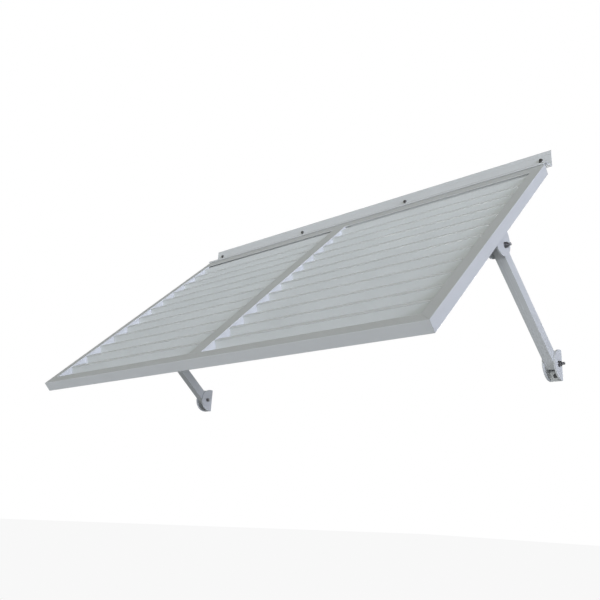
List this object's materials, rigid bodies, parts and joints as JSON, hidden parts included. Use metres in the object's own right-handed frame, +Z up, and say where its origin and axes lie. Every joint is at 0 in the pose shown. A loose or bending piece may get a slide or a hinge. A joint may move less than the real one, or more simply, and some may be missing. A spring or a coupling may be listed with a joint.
{
  "type": "louvred awning shutter",
  "caption": "Top-hinged louvred aluminium awning shutter: a framed two-bay slatted panel hung from a wall header and propped out by two hinged struts.",
  "frame": {"origin": "centre of the wall header's back face, on the wall plane", "axes": "+X to the right along the header as seen from outside, +Y into the wall, +Z up; the shutter stands out towards -Y"},
  "size_m": [1.518, 0.7135, 0.7425],
  "materials": {
    "frame_paint": "satin light grey powder coat",
    "slat_paint": "satin light grey powder coat, the same as the frame",
    "key_aluminium": "mill finish, inside the frame",
    "fastener_steel": "dark plated steel"
  },
  "bodies": {
    "wall_side": {"wall_header": "frame_paint", "header_screw_1": "fastener_steel", "header_screw_2": "fastener_steel", "header_screw_3": "fastener_steel", "header_screw_4": "fastener_steel", "left_wall_bracket": "frame_paint", "left_wall_bracket_screw_1": "fastener_steel", "left_wall_bracket_screw_2": "fastener_steel", "left_wall_bracket_pivot_bolt": "fastener_steel", "left_wall_bracket_pivot_nut": "fastener_steel", "right_wall_bracket": "frame_paint", "right_wall_bracket_screw_1": "fastener_steel", "right_wall_bracket_screw_2": "fastener_steel", "right_wall_bracket_pivot_bolt": "fastener_steel", "right_wall_bracket_pivot_nut": "fastener_steel"},
    "panel": {"top_rail": "frame_paint", "bottom_rail": "frame_paint", "left_stile": "frame_paint", "right_stile": "frame_paint", "centre_mullion": "frame_paint", "top_left_corner_key": "key_aluminium", "top_right_corner_key": "key_aluminium", "bottom_left_corner_key": "key_aluminium", "bottom_right_corner_key": "key_aluminium", "left_clevis": "frame_paint", "left_clevis_screw_1": "fastener_steel", "left_clevis_screw_2": "fastener_steel", "left_clevis_pivot_bolt": "fastener_steel", "left_clevis_pivot_nut": "fastener_steel", "left_slat_01": "slat_paint", "left_slat_02": "slat_paint", "left_slat_03": "slat_paint", "left_slat_04": "slat_paint", "left_slat_05": "slat_paint", "left_slat_06": "slat_paint", "left_slat_07": "slat_paint", "left_slat_08": "slat_paint", "left_slat_09": "slat_paint", "left_slat_10": "slat_paint", "left_slat_11": "slat_paint", "left_slat_12": "slat_paint", "right_clevis": "frame_paint", "right_clevis_screw_1": "fastener_steel", "right_clevis_screw_2": "fastener_steel", "right_clevis_pivot_bolt": "fastener_steel", "right_clevis_pivot_nut": "fastener_steel", "right_slat_01": "slat_paint", "right_slat_02": "slat_paint", "right_slat_03": "slat_paint", "right_slat_04": "slat_paint", "right_slat_05": "slat_paint", "right_slat_06": "slat_paint", "right_slat_07": "slat_paint", "right_slat_08": "slat_paint", "right_slat_09": "slat_paint", "right_slat_10": "slat_paint", "right_slat_11": "slat_paint", "right_slat_12": "slat_paint"},
    "left_strut_body": {"left_strut": "frame_paint"},
    "right_strut_body": {"right_strut": "frame_paint"}
  },
  "joints": [
    {"name": "panel_hinge", "type": "hinge", "parent": "wall_side", "child": "panel", "pos_m": [0, -0.0455, -0.0385], "axis": [1, 0, 0], "range_deg": [0, 38]},
    {"name": "left_strut_pivot", "type": "hinge", "parent": "panel", "child": "left_strut_body", "pos_m": [-0.7245, -0.3355, -0.39975], "axis": [1, 0, 0], "range_deg": [-95, 0]},
    {"name": "right_strut_pivot", "type": "hinge", "parent": "panel", "child": "right_strut_body", "pos_m": [0.7245, -0.3355, -0.39975], "axis": [1, 0, 0], "range_deg": [-95, 0]}
  ],
  "couplings": [
    {"joint": "left_strut_pivot", "follows": "panel_hinge", "ratio": -2.5},
    {"joint": "right_strut_pivot", "follows": "panel_hinge", "ratio": -2.5}
  ]
}
